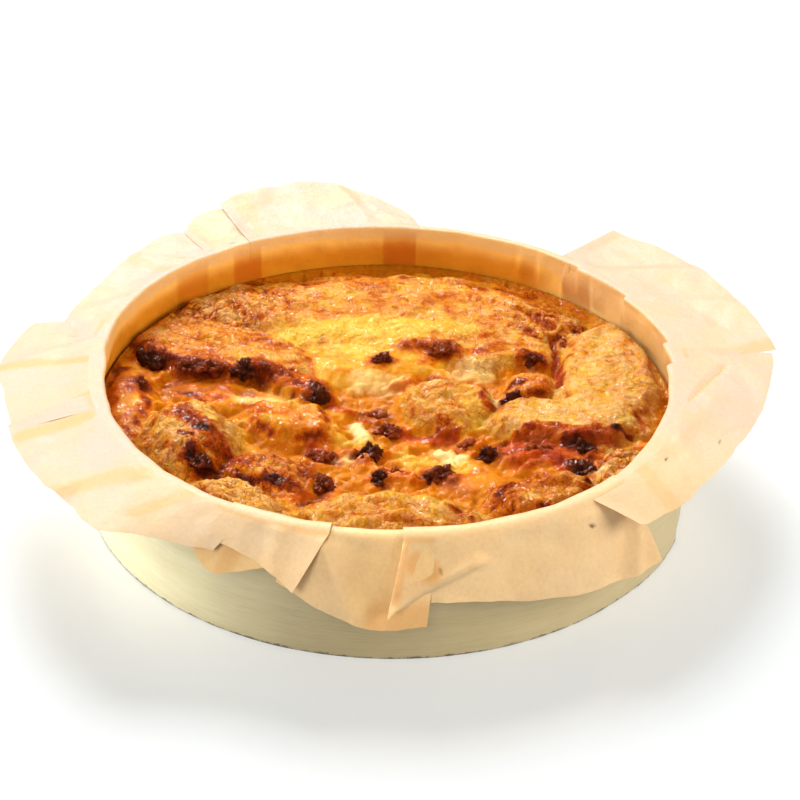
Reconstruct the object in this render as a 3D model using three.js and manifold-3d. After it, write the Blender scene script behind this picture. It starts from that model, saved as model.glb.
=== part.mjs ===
// A round quiche with charred lardons, baked in a veneer case lined with baking paper.
// Millimetres, +Z up. The origin is the centre of the case's underside, and -Y is the front.
import * as THREE from "three";
import { mergeVertices } from "three/addons/utils/BufferGeometryUtils.js";
import Module from "manifold-3d";

const wasm = await Module();
wasm.setup();

// Driving dimensions
const CASE_RADIUS = 90; // outside of the veneer wall
const CASE_HEIGHT = 40;
const WALL = 2; // veneer wall
const BASE = 2; // base disc
const PAPER = 0.6; // thickness of the liner
const GAP = 0.3; // clearance between pieces that touch
const ROUND_STEPS = 96; // facets round the case

// Veneer strip: its outer end laps over its start and stands proud there
const LAP_END = -18; // degrees, the visible end of the strip
const LAP_LENGTH = 10; // degrees of full overlap
const LAP_RAMP = 16; // degrees over which the strip climbs onto itself
const LAP_STEP = 1; // height of the step

// Liner: the bend over the rim and the flaps that hang outside it
const LINER_STEPS = 96;
const BEND_RADIUS = 2; // middle of the paper, about the middle of the wall's top
const BEND_ROWS = 4;
const FLAP_ROWS = 5;
const CORNER = 2; // fold between the liner's floor and its wall
const PLEATS = [47, 57, 84, 116, 131, 152, 246, 272, 312]; // degrees
const PLEAT_DEPTH = 0.8;
const PLEAT_WIDTH = 3; // degrees
// The flaps round the rim: angle, length, and slope in degrees where they leave the rim and at their edge
const FLAPS = [
  [-47, 22, -14, -26],
  [-30, 20, -8, -18],
  [-10, 23, -4, -10],
  [8, 29, 0, -4],
  [25, 27, 2, 3],
  [46, 27, 4, 6],
  [53, 20, -12, -20],
  [60, 21, -38, -64],
  [79, 21, -38, -64],
  [86, 15, -6, -2],
  [95, 26, 5, 8],
  [104, 30, 7, 10],
  [119, 27, 6, 8],
  [126, 20, 2, 2],
  [154, 15, -4, -6],
  [168, 18, -6, -10],
  [177, 28, -8, -14],
  [200, 25, -8, -15],
  [214, 24.5, -8, -15],
  [226, 24.5, -9, -16],
  [234, 17.5, -14, -24],
  [240, 14, -30, -44],
  [245, 13, -44, -58],
  [250, 14, -50, -64],
  [256, 16, -55, -69],
  [262, 20, -60, -76],
  [270, 23, -62, -80],
  [276, 22, -62, -80],
  [286, 22, -60, -78],
  [305, 24, -60, -78],
  [311, 24, -56, -74],
];
// Where the rim leans in over the quiche: angle and distance from the wall
const LEANS = [
  [-46, 0],
  [-20, 3],
  [2, 2.6],
  [24, 1.4],
  [50, 0.9],
  [60, 0],
  [160, 0],
  [184, 3],
  [208, 1.4],
  [235, 0],
];

// Quiche
const QUICHE_RADIUS = 85.4; // of its side, before the wavy shrinkage
const SIDE_LEAN = 0.8; // how much narrower the underside is
const SHRINK = 1.4; // how far the edge draws in from the paper
const QUICHE_RINGS = 24;
const EDGE_HEIGHT = 27.5; // where the rounded edge meets the side
const EDGE_ROUND = 3.5; // how far in the edge is rounded
const VALLEY = 24; // level of the custard between the mounds
const MOUND_SHARE = 6; // power of the soft maximum that joins the mounds
const LINER_FLOOR = BASE + GAP + PAPER / 2;
const QUICHE_FLOOR = LINER_FLOOR + PAPER / 2 + GAP;

// Mounds of the puffed top: centre, half length and width, turn in degrees, height of the crown, and
// the reach, in half sizes, where the crown ends and where the slope meets the custard
const MOUNDS = [
  { name: "bun", at: [-57, -23.5], half: [16.5, 22], turn: 8, top: 34.5, edge: [0.4, 1.1] },
  { name: "left edge", at: [-78, 0], half: [9, 27], turn: 6, top: 28, edge: [0.3, 1.3] },
  { name: "left shelf", at: [-52, 27], half: [36, 18], turn: -17, top: 30, edge: [0.65, 1.06] },
  { name: "shelf end", at: [-26, 9], half: [12, 9], turn: -40, top: 28.5, edge: [0.4, 1.15] },
  { name: "back left crust", at: [-37, 55], half: [28, 16], turn: 32, top: 30.5, edge: [0.3, 1.3] },
  { name: "back crust", at: [2, 53], half: [62, 31], turn: 0, top: 30.5, edge: [0.5, 1.15] },
  { name: "back right crust", at: [43, 51], half: [22, 15], turn: -38, top: 30.5, edge: [0.3, 1.3] },
  { name: "egg slope", at: [-8, 26], half: [32, 17], turn: 12, top: 28.5, edge: [0.4, 1.15] },
  { name: "right back shelf", at: [30, 34], half: [25, 14], turn: -6, top: 29.5, edge: [0.6, 1.1] },
  { name: "right slab", at: [67, 16], half: [18, 43], turn: -6, top: 31, edge: [0.6, 1.08] },
  { name: "right tongue", at: [54, -9], half: [25, 11.8], turn: -3, top: 30.4, edge: [0.8, 1.05] },
  { name: "middle mound", at: [17.5, 1], half: [17, 16.5], turn: -10, top: 29.8, edge: [0.55, 1.06] },
  { name: "small mound", at: [44, 11], half: [9.5, 7.2], turn: 6, top: 29.3, edge: [0.5, 1.12] },
  { name: "glossy mound", at: [-28.5, -12.5], half: [18, 11.5], turn: -18, top: 29.8, edge: [0.5, 1.1] },
  { name: "rough mound", at: [-35, -38], half: [16, 11], turn: -12, top: 29, edge: [0.3, 1.3] },
  { name: "front left crust", at: [-41, -57], half: [20, 10], turn: -36, top: 31.5, edge: [0.4, 1.2] },
  { name: "front crust", at: [1, -62], half: [31, 13], turn: 0, top: 32, edge: [0.4, 1.2] },
  { name: "front right crust", at: [45, -48], half: [19, 11], turn: 20, top: 31, edge: [0.5, 1.15] },
  { name: "right crumb", at: [70, -33], half: [12, 15], turn: -24, top: 29.5, edge: [0.4, 1.15] },
  { name: "custard swell", at: [27, -41], half: [15, 10], turn: 10, top: 26.5, edge: [0.2, 1.3] },
  { name: "left pool", at: [-48, 4.5], half: [20, 7.5], turn: -14, top: 27.2, edge: [0.65, 1.25] },
  { name: "red pool", at: [47, -25.5], half: [15, 8], turn: -3, top: 27.2, edge: [0.6, 1.25] },
  { name: "seat of a lardon", at: [37.8, 1.2], half: [6, 5], turn: 0, top: 27.6, edge: [0.4, 1.2] },
];

// Lardons: centre, half length, width and height, turn in degrees
const LARDONS = [
  { at: [-73.5, 21.5], half: [6, 3.6, 3.4], turn: -38 },
  { at: [-57.5, 14.2], half: [7.6, 3.2, 2.8], turn: -10 },
  { at: [-44.5, 13.4], half: [4.6, 3.4, 3.6], turn: 35 },
  { at: [-21, 1.8], half: [3.8, 3.3, 4.2], turn: 40 },
  { at: [-4, -4.2], half: [4.6, 3.3, 3.2], turn: 8 },
  { at: [0.5, -11.8], half: [4.4, 3.1, 3.2], turn: -25 },
  { at: [-4.7, -25.4], half: [4.8, 3.6, 3.8], turn: 14 },
  { at: [-1.8, -39], half: [2.9, 2.7, 3], turn: -40 },
  { at: [3, -34], half: [3.2, 2.6, 2.6], turn: 10 },
  { at: [-19, -27.5], half: [4.6, 3.3, 3], turn: -14 },
  { at: [-17.8, -42.3], half: [3.8, 3.3, 3.3], turn: -35 },
  { at: [-2.5, 21.8], half: [3, 2.7, 3], turn: 24 },
  { at: [-75, 6], half: [2.4, 4.2, 2.6], turn: 12 },
  { at: [-53, -39], half: [4.6, 3, 2.6], turn: -28 },
  { at: [44, 26], half: [3.2, 2.9, 3.2], turn: -20 },
  { at: [37.8, 1.2], half: [3.9, 3.1, 3.8], turn: 10 },
  { at: [57.5, -22.6], half: [3.8, 3.2, 3.7], turn: -30 },
  { at: [29.8, -24.6], half: [3.3, 2.9, 3.4], turn: -20 },
  { at: [15, -37.5], half: [4.8, 4.2, 4.4], turn: -12 },
  { at: [44.5, -24.2], half: [4, 3.1, 2.9], turn: 16 },
  { at: [56.5, -32.6], half: [4.4, 3.5, 3.5], turn: 20 },
  { at: [16, 29.3], half: [4.7, 2.9, 2.7], turn: 4 },
  { at: [24.4, -20.4], half: [3.1, 2.4, 2.8], turn: 20 },
];
const LARDON_LIFT = 0; // share of the height by which the middle stands above the custard
const LARDON_KNOBS = 0.16; // share of the size by which the surface is knobbly

const MATERIALS = {
  veneer: new THREE.MeshStandardMaterial({ color: 0xe9e0cc, roughness: 0.6, metalness: 0 }),
  paper: new THREE.MeshStandardMaterial({ color: 0xf0d5a4, roughness: 0.55, metalness: 0 }),
  quiche: new THREE.MeshStandardMaterial({ color: 0xd98a2b, roughness: 0.45, metalness: 0 }),
  lardon: new THREE.MeshStandardMaterial({ color: 0x4a1d12, roughness: 0.4, metalness: 0 }),
};

const radians = THREE.MathUtils.degToRad;
const lerp = THREE.MathUtils.lerp;

// How far angle b lies round from angle a, in degrees from -180 to 180.
const turnBetween = (a, b) => ((((b - a) % 360) + 540) % 360) - 180;

// Closed solid from a list of points and triples of point numbers.
function solidOf(points, triangles) {
  return new wasm.Manifold(
    new wasm.Mesh({
      numProp: 3,
      vertProperties: new Float32Array(points.flat()),
      triVerts: new Uint32Array(triangles.flat()),
    }),
  );
}

function geometryOf(solid) {
  const { numProp, numVert, vertProperties, triVerts } = solid.getMesh();
  const positions = new Float32Array(numVert * 3);
  for (let i = 0; i < numVert; i++) {
    positions.set(vertProperties.subarray(i * numProp, i * numProp + 3), i * 3);
  }
  return new THREE.BufferGeometry()
    .setAttribute("position", new THREE.BufferAttribute(positions, 3))
    .setIndex(new THREE.BufferAttribute(triVerts, 1));
}

// Veneer wall: one strip wound into a ring, thicker where its end laps over its start.
function veneerWall() {
  const outline = [];
  for (let i = 0; i < ROUND_STEPS; i++) {
    const angle = LAP_END - 360 + (360 * i) / (ROUND_STEPS - 1);
    const climb = (angle - (LAP_END - LAP_LENGTH - LAP_RAMP)) / LAP_RAMP;
    const r = CASE_RADIUS + LAP_STEP * THREE.MathUtils.smoothstep(climb, 0, 1);
    outline.push(new THREE.Vector2(r, 0).rotateAround(new THREE.Vector2(), radians(angle)));
  }
  const ring = new THREE.Shape(outline);
  const inside = new THREE.Path();
  inside.absarc(0, 0, CASE_RADIUS - WALL, 0, 2 * Math.PI, true);
  ring.holes.push(inside);
  return new THREE.ExtrudeGeometry(ring, {
    depth: CASE_HEIGHT,
    bevelEnabled: false,
    curveSegments: ROUND_STEPS / 2,
  });
}

// Base disc, pressed into the foot of the wall.
function baseDisc() {
  const radius = CASE_RADIUS - WALL - GAP;
  return new THREE.CylinderGeometry(radius, radius, BASE, ROUND_STEPS)
    .rotateX(Math.PI / 2)
    .translate(0, 0, BASE / 2);
}

// Values at an angle, between the two nearest rows of a table that runs round the rim.
function valuesAt(table, angle) {
  const round = (from, to) => (((to - from) % 360) + 360) % 360;
  const next = (i) => table[(i + 1) % table.length];
  const i = table.findIndex((row, k) => round(row[0], angle) < round(row[0], next(k)[0]));
  const share = round(table[i][0], angle) / round(table[i][0], next(i)[0]);
  return table[i].slice(1).map((value, k) => lerp(value, next(i)[k + 1], share));
}

// Middle line of the liner at an angle, from the floor's edge to the edge of the flap, as radius and height.
function linerProfile(angle) {
  const [length, startSlope, endSlope] = valuesAt(FLAPS, angle);
  const [lean] = valuesAt(LEANS, angle);
  const pleat = Math.max(
    ...PLEATS.map((p) => 1 - Math.abs(turnBetween(p, angle)) / PLEAT_WIDTH),
    0,
  );
  const middle = CASE_RADIUS - WALL / 2;
  const bendFoot = CASE_HEIGHT - 1;
  const wallRadius = middle - BEND_RADIUS;
  const profile = [
    [wallRadius - CORNER, LINER_FLOOR],
    [wallRadius, LINER_FLOOR + CORNER],
    [wallRadius - pleat * PLEAT_DEPTH, 0.75 * CASE_HEIGHT],
  ];
  const bend = radians(90 - startSlope);
  for (let i = 0; i <= BEND_ROWS; i++) {
    const turn = (bend * i) / BEND_ROWS;
    const r = middle - lean / 2 - (BEND_RADIUS + lean / 2) * Math.cos(turn);
    profile.push([r, bendFoot + BEND_RADIUS * Math.sin(turn)]);
  }
  let [r, z] = profile.at(-1);
  for (let i = 0; i < FLAP_ROWS; i++) {
    const slope = radians(lerp(startSlope, endSlope, (i + 0.5) / FLAP_ROWS));
    r += (length / FLAP_ROWS) * Math.cos(slope);
    z += (length / FLAP_ROWS) * Math.sin(slope);
    profile.push([r, z]);
  }
  return profile;
}

// Baking paper: a thin sheet across the floor, up the wall, over the rim and out into loose flaps.
function paperLiner() {
  const columns = [];
  for (let i = 0; i < LINER_STEPS; i++) {
    const angle = (360 * i) / LINER_STEPS;
    const spin = new THREE.Vector3(Math.cos(radians(angle)), Math.sin(radians(angle)), 0);
    columns.push(
      linerProfile(angle).map(([r, z]) => spin.clone().multiplyScalar(r).setZ(z)),
    );
  }
  const rows = columns[0].length;
  const at = (i, j) => columns[(i + LINER_STEPS) % LINER_STEPS][THREE.MathUtils.clamp(j, 0, rows - 1)];
  const points = [];
  for (let i = 0; i < LINER_STEPS; i++) {
    for (let j = 0; j < rows; j++) {
      const along = at(i, j + 1).clone().sub(at(i, j - 1));
      const round = at(i + 1, j).clone().sub(at(i - 1, j));
      const normal = round.cross(along).normalize().multiplyScalar(PAPER / 2);
      points.push(at(i, j).clone().add(normal).toArray());
      points.push(at(i, j).clone().sub(normal).toArray());
    }
  }
  const outer = (i, j) => 2 * ((i % LINER_STEPS) * rows + j);
  const inner = (i, j) => outer(i, j) + 1;
  const [underside, upside] = [points.length, points.length + 1];
  points.push([0, 0, LINER_FLOOR - PAPER / 2], [0, 0, LINER_FLOOR + PAPER / 2]);
  const triangles = [];
  for (let i = 0; i < LINER_STEPS; i++) {
    triangles.push([underside, outer(i + 1, 0), outer(i, 0)], [upside, inner(i, 0), inner(i + 1, 0)]);
    for (let j = 0; j < rows - 1; j++) {
      triangles.push([outer(i, j), outer(i + 1, j), outer(i + 1, j + 1)]);
      triangles.push([outer(i, j), outer(i + 1, j + 1), outer(i, j + 1)]);
      triangles.push([inner(i, j), inner(i + 1, j + 1), inner(i + 1, j)]);
      triangles.push([inner(i, j), inner(i, j + 1), inner(i + 1, j + 1)]);
    }
    const j = rows - 1;
    triangles.push([outer(i, j), outer(i + 1, j), inner(i + 1, j)]);
    triangles.push([outer(i, j), inner(i + 1, j), inner(i, j)]);
  }
  return solidOf(points, triangles);
}

// Height of the quiche's top away from its edge: mounds joined by a soft maximum over the custard.
function moundHeight(x, y) {
  let sum = 0;
  for (const { at, half, turn, top, edge } of MOUNDS) {
    const p = new THREE.Vector2(x - at[0], y - at[1]).rotateAround(new THREE.Vector2(), -radians(turn));
    const reach = Math.hypot(p.x / half[0], p.y / half[1]);
    const rise = 1 - THREE.MathUtils.smoothstep(reach, ...edge);
    sum += ((top - VALLEY) * rise) ** MOUND_SHARE;
  }
  return VALLEY + sum ** (1 / MOUND_SHARE);
}

// Radius of the quiche's wavy edge.
function edgeRadius(angle) {
  const wave = 0.5 + 0.3 * Math.sin(3 * angle + 0.8) + 0.2 * Math.sin(7 * angle);
  return QUICHE_RADIUS - SHRINK * wave;
}

// Height of the quiche's top, rounded over at the edge.
function topHeight(x, y) {
  const inward = edgeRadius(Math.atan2(y, x)) - Math.hypot(x, y);
  const over = THREE.MathUtils.clamp(1 - inward / EDGE_ROUND, 0, 1);
  return lerp(EDGE_HEIGHT, moundHeight(x, y), Math.sqrt(1 - over * over));
}

// Quiche: a disc of rings, ring k with 6k points, raised by topHeight over a flat underside.
function quicheSolid() {
  const points = [[0, 0, topHeight(0, 0)]];
  const ringPoint = (k, i) => (k === 0 ? 0 : 1 + 3 * k * (k - 1) + (i % (6 * k)));
  for (let k = 1; k <= QUICHE_RINGS; k++) {
    for (let i = 0; i < 6 * k; i++) {
      const angle = (Math.PI * i) / (3 * k);
      const r = (edgeRadius(angle) * k) / QUICHE_RINGS;
      const [x, y] = [r * Math.cos(angle), r * Math.sin(angle)];
      points.push([x, y, topHeight(x, y)]);
    }
  }
  const triangles = [];
  for (let k = 1; k <= QUICHE_RINGS; k++) {
    for (let side = 0; side < 6; side++) {
      for (let i = 0; i < k; i++) {
        const out = side * k + i;
        const into = side * (k - 1) + i;
        triangles.push([ringPoint(k - 1, into), ringPoint(k, out), ringPoint(k, out + 1)]);
        if (i < k - 1) {
          triangles.push([ringPoint(k - 1, into), ringPoint(k, out + 1), ringPoint(k - 1, into + 1)]);
        }
      }
    }
  }
  const around = 6 * QUICHE_RINGS;
  const foot = points.length;
  for (let i = 0; i < around; i++) {
    const angle = (2 * Math.PI * i) / around;
    const r = edgeRadius(angle) - SIDE_LEAN;
    points.push([r * Math.cos(angle), r * Math.sin(angle), QUICHE_FLOOR]);
  }
  const middle = points.push([0, 0, QUICHE_FLOOR]) - 1;
  for (let i = 0; i < around; i++) {
    const [a, b] = [foot + i, foot + ((i + 1) % around)];
    const [c, d] = [ringPoint(QUICHE_RINGS, i), ringPoint(QUICHE_RINGS, i + 1)];
    triangles.push([a, b, d], [a, d, c], [b, a, middle]);
  }
  return solidOf(points, triangles);
}

// Lardon: a knobbly lump that ends where it meets the custard.
function lardonSolid({ at, half, turn }, number, quiche) {
  const lump = new THREE.IcosahedronGeometry(1, 1);
  lump.deleteAttribute("normal");
  lump.deleteAttribute("uv");
  const ball = mergeVertices(lump, 1e-3);
  const place = new THREE.Matrix4()
    .makeTranslation(at[0], at[1], topHeight(...at) + LARDON_LIFT * half[2])
    .multiply(new THREE.Matrix4().makeRotationZ(radians(turn)))
    .multiply(new THREE.Matrix4().makeScale(...half));
  const points = [];
  for (let i = 0; i < ball.attributes.position.count; i++) {
    const p = new THREE.Vector3().fromBufferAttribute(ball.attributes.position, i);
    const knob = Math.sin(9 * p.x + 2 * number) * Math.sin(8 * p.y + 3 * number) + Math.sin(7 * p.z + number);
    points.push(p.multiplyScalar(1 + (LARDON_KNOBS * knob) / 2).applyMatrix4(place).toArray());
  }
  const index = ball.index.array;
  const triangles = [];
  for (let i = 0; i < index.length; i += 3) {
    triangles.push([index[i], index[i + 1], index[i + 2]]);
  }
  const cut = solidOf(points, triangles).subtract(quiche.translate(0, 0, GAP));
  return cut.decompose().sort((a, b) => b.volume() - a.volume())[0];
}

const group = new THREE.Group();
function addPiece(name, geometry, material) {
  const mesh = new THREE.Mesh(geometry, material);
  mesh.name = name;
  group.add(mesh);
}

addPiece("case_wall", veneerWall(), MATERIALS.veneer);
addPiece("case_base", baseDisc(), MATERIALS.veneer);
addPiece("paper_liner", geometryOf(paperLiner()), MATERIALS.paper);
const quiche = quicheSolid();
addPiece("quiche", geometryOf(quiche), MATERIALS.quiche);
LARDONS.forEach((lardon, i) => {
  const name = `lardon_${String(i + 1).padStart(2, "0")}`;
  addPiece(name, geometryOf(lardonSolid(lardon, i, quiche)), MATERIALS.lardon);
});

export default group;
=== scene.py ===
import math

import bmesh
import bpy
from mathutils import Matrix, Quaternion, Vector, noise


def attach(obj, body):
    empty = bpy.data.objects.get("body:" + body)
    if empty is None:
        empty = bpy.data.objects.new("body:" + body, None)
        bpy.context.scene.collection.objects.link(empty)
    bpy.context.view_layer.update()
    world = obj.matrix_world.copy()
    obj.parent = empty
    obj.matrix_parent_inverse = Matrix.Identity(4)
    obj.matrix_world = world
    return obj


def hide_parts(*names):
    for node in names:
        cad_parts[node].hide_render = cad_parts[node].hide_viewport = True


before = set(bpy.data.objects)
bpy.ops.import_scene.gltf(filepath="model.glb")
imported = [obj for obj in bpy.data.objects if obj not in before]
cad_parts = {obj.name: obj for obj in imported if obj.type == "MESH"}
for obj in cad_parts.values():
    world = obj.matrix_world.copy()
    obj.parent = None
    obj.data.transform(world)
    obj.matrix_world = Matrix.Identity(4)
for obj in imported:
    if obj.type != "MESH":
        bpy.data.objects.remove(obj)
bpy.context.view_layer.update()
mm = 0.001
mmPerDegree = 1.6  # round the rim, about


# small helpers that every piece uses

def mix(a, b, share):
    return a + (b - a) * share


def ease(x, low, high):
    share = min(max((x - low) / (high - low), 0), 1)
    return share * share * (3 - 2 * share)


def cosSin(degrees):
    turn = math.radians(degrees)
    return math.cos(turn), math.sin(turn)


def polar(radius, degrees, z):  # millimetres to a point in metres
    c, s = cosSin(degrees)
    return Vector((radius * c, radius * s, z)) * mm


def grainNoise(x, y, size, octaves=3, seed=0):  # about -1 to 1, in patches of this size
    return noise.fractal(Vector((x / size, y / size, seed)), 0.8, 2.1, octaves)


def cellEdge(x, y, size, seed=0):  # 0 on the border of a cell, larger inside it
    reach = noise.voronoi(Vector((x / size, y / size, seed)))[0]
    return reach[1] - reach[0]


def markLayers(bm, names):
    return {name: bm.verts.layers.float.new(name) for name in names}


def setMarks(vert, layers, **values):
    for name, value in values.items():
        vert[layers[name]] = value


def finishPiece(name, bm, material, node, slot, smooth=True):
    for face in bm.faces:
        face.smooth = smooth
    mesh = bpy.data.meshes.new(name)
    bm.to_mesh(mesh)
    bm.free()
    mesh.materials.append(material)
    piece = bpy.data.objects.new(name, mesh)
    bpy.context.scene.collection.objects.link(piece)
    for group in ("pieces", "paper", "veneer"):  # for lamps that keep to them
        if group in ("pieces", slot):
            bpy.data.collections[group].objects.link(piece)
    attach(piece, "root")
    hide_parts(node)
    return piece


# shader helpers

def newMaterial(name):
    material = bpy.data.materials.new(name)
    material.use_nodes = True
    tree = material.node_tree
    return material, tree, tree.nodes["Principled BSDF"]


def plug(tree, value, socket):  # a link, a number, a vector or a colour
    if isinstance(value, bpy.types.NodeSocket):
        tree.links.new(value, socket)
    else:
        socket.default_value = (*value, 1) if socket.type == "RGBA" else value


def feed(tree, node, values):
    for name, value in values.items():
        plug(tree, value, node.inputs[name])


def addNode(tree, kind, *inputs, **settings):
    made = tree.nodes.new(kind)
    for key, value in settings.items():
        if key in made.inputs:
            plug(tree, value, made.inputs[key])
        else:
            setattr(made, key, value)
    for value, socket in zip(inputs, made.inputs):
        plug(tree, value, socket)
    return made


def objectPlace(tree):
    return addNode(tree, "ShaderNodeTexCoord").outputs["Object"]


def readAttribute(tree, name):
    return addNode(tree, "ShaderNodeAttribute", attribute_name=name).outputs["Fac"]


def combine(tree, operation, a, b, clamp=False):
    return addNode(tree, "ShaderNodeMath", a, b, operation=operation, use_clamp=clamp).outputs[0]


def blendColour(tree, share, a, b):
    made = addNode(tree, "ShaderNodeMix", data_type="RGBA")
    for value, place in ((share, 0), (a, 6), (b, 7)):  # the node's colour sockets are 6 and 7
        plug(tree, value, made.inputs[place])
    return made.outputs[2]


def rampColour(tree, value, stops):
    made = addNode(tree, "ShaderNodeValToRGB", value)
    ramp = made.color_ramp
    while len(ramp.elements) < len(stops):
        ramp.elements.new(0.5)
    for element, (place, colour) in zip(ramp.elements, stops):
        element.position = place
        element.color = (*colour, 1)
    return made.outputs[0]


def rampValue(tree, value, low, high, fromLow, fromHigh):
    return addNode(tree, "ShaderNodeMapRange", value, fromLow, fromHigh, low, high, clamp=True).outputs[0]


def layOver(tree, colour, over, mask, fromLow=0, fromHigh=1, most=1):  # another colour where the mask rises
    return blendColour(tree, rampValue(tree, mask, 0, most, fromLow, fromHigh), colour, over)


def noiseAt(tree, where, size, detail=4, roughness=0.6, stretch=(1, 1, 1)):  # size in millimetres
    placed = addNode(tree, "ShaderNodeMapping", where, Scale=stretch).outputs[0]
    made = addNode(tree, "ShaderNodeTexNoise", placed, Scale=1 / (size * mm), Detail=detail,
                   Roughness=roughness)
    return made.outputs[0]


def crackAt(tree, where, size, wander):  # 1 on the borders of cells of this size in millimetres
    warp = addNode(tree, "ShaderNodeTexNoise", where, Scale=1 / (1.6 * size * mm), Detail=3).outputs["Color"]
    centred = addNode(tree, "ShaderNodeVectorMath", warp, (0.5, 0.5, 0.5), operation="SUBTRACT").outputs[0]
    reach = [2 * wander * size * mm] * 3
    moved = addNode(tree, "ShaderNodeVectorMath", centred, reach, where, operation="MULTIPLY_ADD").outputs[0]
    cells = addNode(tree, "ShaderNodeTexVoronoi", moved, feature="DISTANCE_TO_EDGE", Scale=1 / (size * mm))
    return rampValue(tree, cells.outputs["Distance"], 1, 0, 0, 0.07)


def bumpFrom(tree, height, depth, normal=None):  # depth in millimetres
    made = addNode(tree, "ShaderNodeBump", Strength=1, Distance=depth * mm, Height=height)
    if normal:
        plug(tree, normal, made.inputs["Normal"])
    return made.outputs[0]


# camera, floor and light

cameraView = {
    "target": (3.6, 0, 28),  # mm, the middle of the picture
    "distance": 700,  # mm
    "elevation": 31.6,  # degrees above the floor
    "roll": 1.5,  # degrees
    "lens": 105,
}


def makeCamera():
    rise = math.radians(cameraView["elevation"])
    back = Vector((0, -math.cos(rise), math.sin(rise)))
    data = bpy.data.cameras.new("camera")
    data.lens = cameraView["lens"]
    data.clip_start, data.clip_end = 0.01, 20
    camera = bpy.data.objects.new("camera", data)
    camera.location = (Vector(cameraView["target"]) + back * cameraView["distance"]) * mm
    camera.rotation_mode = "QUATERNION"
    roll = Quaternion((0, 0, 1), math.radians(cameraView["roll"]))
    camera.rotation_quaternion = (-back).to_track_quat("-Z", "Y") @ roll
    bpy.context.scene.collection.objects.link(camera)
    bpy.context.scene.camera = camera


studio = {
    "floorColour": (0.81, 0.83, 0.84),  # by the case
    "floorFar": (0.92, 0.93, 0.94),
    "floorFade": (0.14, 0.5),  # m from the middle
    "floorSize": 6,  # m
    "floorRoughness": 0.22,
    "floorIor": 1.6,
    "lampTarget": (0, 0, 0.03),  # m
    "world": 0.22,
    "worldColour": (1, 0.90, 0.70),
    # lamp: degrees round from the back (left is positive), elevation, metres away, size in metres, watts,
    # colour, and its use: it lights the pieces, one slot of them or the floor, without shadows for "fill",
    # or it only glints on the pieces, or does "both"
    "lamps": {
        "topSoft": (6, 70, 1.5, 1.3, 11.5, (1, 0.985, 0.95), "pieces"),
        "backKey": (14, 38, 1.6, 0.6, 18.5, (1, 0.985, 0.95), "pieces"),
        "leftKey": (60, 47, 1.5, 0.4, 14, (1, 0.985, 0.95), "both"),
        "leftSoft": (82, 24, 1.3, 0.8, 11.5, (1, 0.98, 0.94), "pieces"),
        "rightSoft": (-105, 26, 1.4, 0.8, 14, (1, 0.89, 0.70), "pieces"),
        "frontSoft": (152, 30, 1.6, 0.6, 16, (1, 0.94, 0.82), "paper"),
        "caseLeft": (78, 16, 1.3, 0.7, 36, (0.76, 0.90, 1), "veneer"),
        "wallFill": (-86, 15, 1.4, 0.6, 13, (1, 0.92, 0.78), "paper"),
        "frontFill": (162, 42, 1.6, 0.7, 5, (1, 0.82, 0.56), "pieces"),
        "floorFill": (0, 86, 1.5, 1.0, 18, (0.95, 0.98, 1), "fill"),
        "floorBack": (8, 44, 1.6, 0.9, 26, (0.97, 0.985, 1), "floor"),
        "backGlint": (6, 44, 1.5, 0.5, 8, (1, 0.95, 0.84), "glint"),
        "smallGlint": (12, 40, 1.5, 0.28, 5, (1, 0.97, 0.92), "glint"),
    },
}


def makeStudio():
    scene = bpy.context.scene
    scene.view_settings.view_transform = "Standard"
    scene.view_settings.look = "None"
    scene.world = bpy.data.worlds.new("studioWorld")
    scene.world.use_nodes = True
    tree = scene.world.node_tree
    # the sky is left out of reflections
    glossy = addNode(tree, "ShaderNodeLightPath").outputs["Is Glossy Ray"]
    strength = rampValue(tree, glossy, studio["world"], 0, 0, 1)
    feed(tree, tree.nodes["Background"], {"Color": studio["worldColour"], "Strength": strength})
    bm = bmesh.new()
    bmesh.ops.create_grid(bm, x_segments=1, y_segments=1, size=studio["floorSize"] / 2)
    mesh = bpy.data.meshes.new("floor")
    bm.to_mesh(mesh)
    bm.free()
    material, tree, shader = newMaterial("paleFloor")
    reach = addNode(tree, "ShaderNodeVectorMath", objectPlace(tree), operation="LENGTH").outputs["Value"]
    feed(tree, shader, {
        "Base Color": layOver(tree, studio["floorColour"], studio["floorFar"], reach, *studio["floorFade"]),
        "Roughness": studio["floorRoughness"],
        "IOR": studio["floorIor"],
    })
    mesh.materials.append(material)
    floor = bpy.data.objects.new("floor", mesh)
    scene.collection.objects.link(floor)
    lit = {group: bpy.data.collections.new(group) for group in ("pieces", "paper", "veneer", "floor")}
    lit["floor"].objects.link(floor)  # the pieces join theirs as they are made
    lit.update(both=lit["pieces"], glint=lit["pieces"], fill=lit["floor"])
    for name, (around, rise, away, size, watts, colour, use) in studio["lamps"].items():
        data = bpy.data.lights.new(name, "AREA")
        data.shape, data.size, data.energy, data.color = "DISK", size, watts, colour
        lamp = bpy.data.objects.new(name, data)
        c, s = cosSin(rise)
        lamp.location = polar(away / mm * c, 90 + around, away / mm * s)
        lamp.rotation_mode = "QUATERNION"
        lamp.rotation_quaternion = (Vector(studio["lampTarget"]) - lamp.location).to_track_quat("-Z", "Y")
        lamp.visible_glossy = use in ("glint", "both")
        lamp.visible_diffuse = lamp.visible_transmission = use != "glint"
        lamp.light_linking.receiver_collection = lit[use]
        if use == "fill":
            lamp.light_linking.blocker_collection = lit["floor"]
        scene.collection.objects.link(lamp)


makeCamera()
makeStudio()
print("camera, floor and lamps are set")


# veneer case

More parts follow.
